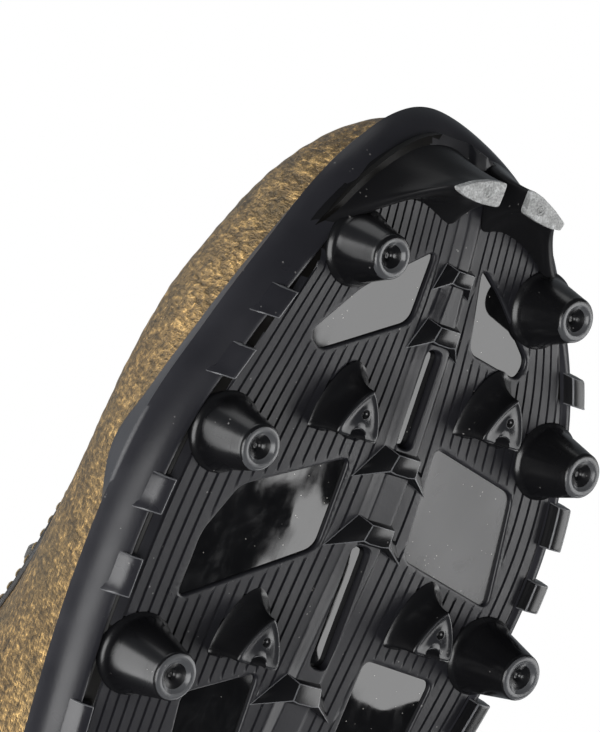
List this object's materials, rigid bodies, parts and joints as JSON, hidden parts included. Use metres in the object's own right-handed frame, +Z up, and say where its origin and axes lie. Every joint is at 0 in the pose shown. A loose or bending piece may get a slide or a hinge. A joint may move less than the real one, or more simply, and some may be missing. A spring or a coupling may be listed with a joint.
{
  "type": "soccer cleat",
  "caption": "Laced low-cut football boot for the right foot: moulded sole plate with conical studs, ribs and window openings under a thin knit upper with a padded collar.",
  "frame": {"origin": "middle of the footprint, on the ground the studs stand on", "axes": "+X to the toe, +Y to the inner side of the foot, +Z up"},
  "size_m": [0.28, 0.1002, 0.112],
  "materials": {
    "plate_black": "moulded, fine ribbed, semi-gloss",
    "stud_gloss": "moulded, high gloss",
    "toe_tip_grey": "moulded, satin",
    "chassis_gloss": "polished",
    "board": "stitched fibre board",
    "lining_fabric": "brushed textile over foam",
    "upper_knit": "fine knit with metallic yarn",
    "stiffener": "matte sheet",
    "eyestay_film": "satin fused film",
    "webbing": "woven ribbon",
    "tongue_knit": "padded knit",
    "lace_fabric": "braided cord"
  },
  "bodies": {
    "shoe": {"outsole_plate": "plate_black", "forefoot_stud_tip_lateral_front": "stud_gloss", "forefoot_stud_tip_lateral_middle": "stud_gloss", "forefoot_stud_tip_lateral_rear": "stud_gloss", "forefoot_stud_tip_medial_front": "stud_gloss", "forefoot_stud_tip_medial_middle": "stud_gloss", "forefoot_stud_tip_medial_rear": "stud_gloss", "heel_stud_tip_lateral_front": "stud_gloss", "heel_stud_tip_lateral_rear": "stud_gloss", "heel_stud_tip_medial_front": "stud_gloss", "heel_stud_tip_medial_rear": "stud_gloss", "toe_stud_tip_lateral": "toe_tip_grey", "toe_stud_tip_medial": "toe_tip_grey", "chassis_plate": "chassis_gloss", "insole_board": "board", "sockliner": "lining_fabric", "vamp": "upper_knit", "toe_puff": "stiffener", "quarter_lateral": "upper_knit", "quarter_medial": "upper_knit", "eyestay_lateral": "eyestay_film", "eyestay_medial": "eyestay_film", "collar_pad_lateral": "lining_fabric", "collar_pad_medial": "lining_fabric", "heel_counter": "stiffener", "heel_tab": "webbing", "lace": "lace_fabric"},
    "tongue": {"tongue": "tongue_knit"}
  },
  "joints": [
    {"name": "tongue_fold", "type": "hinge", "parent": "shoe", "child": "tongue", "pos_m": [0.0665, 0.0023, 0.0612], "axis": [0, -1, 0], "range_deg": [0, 12], "stiffness_Nm_per_rad": 0.2, "springref_deg": -5.73}
  ]
}
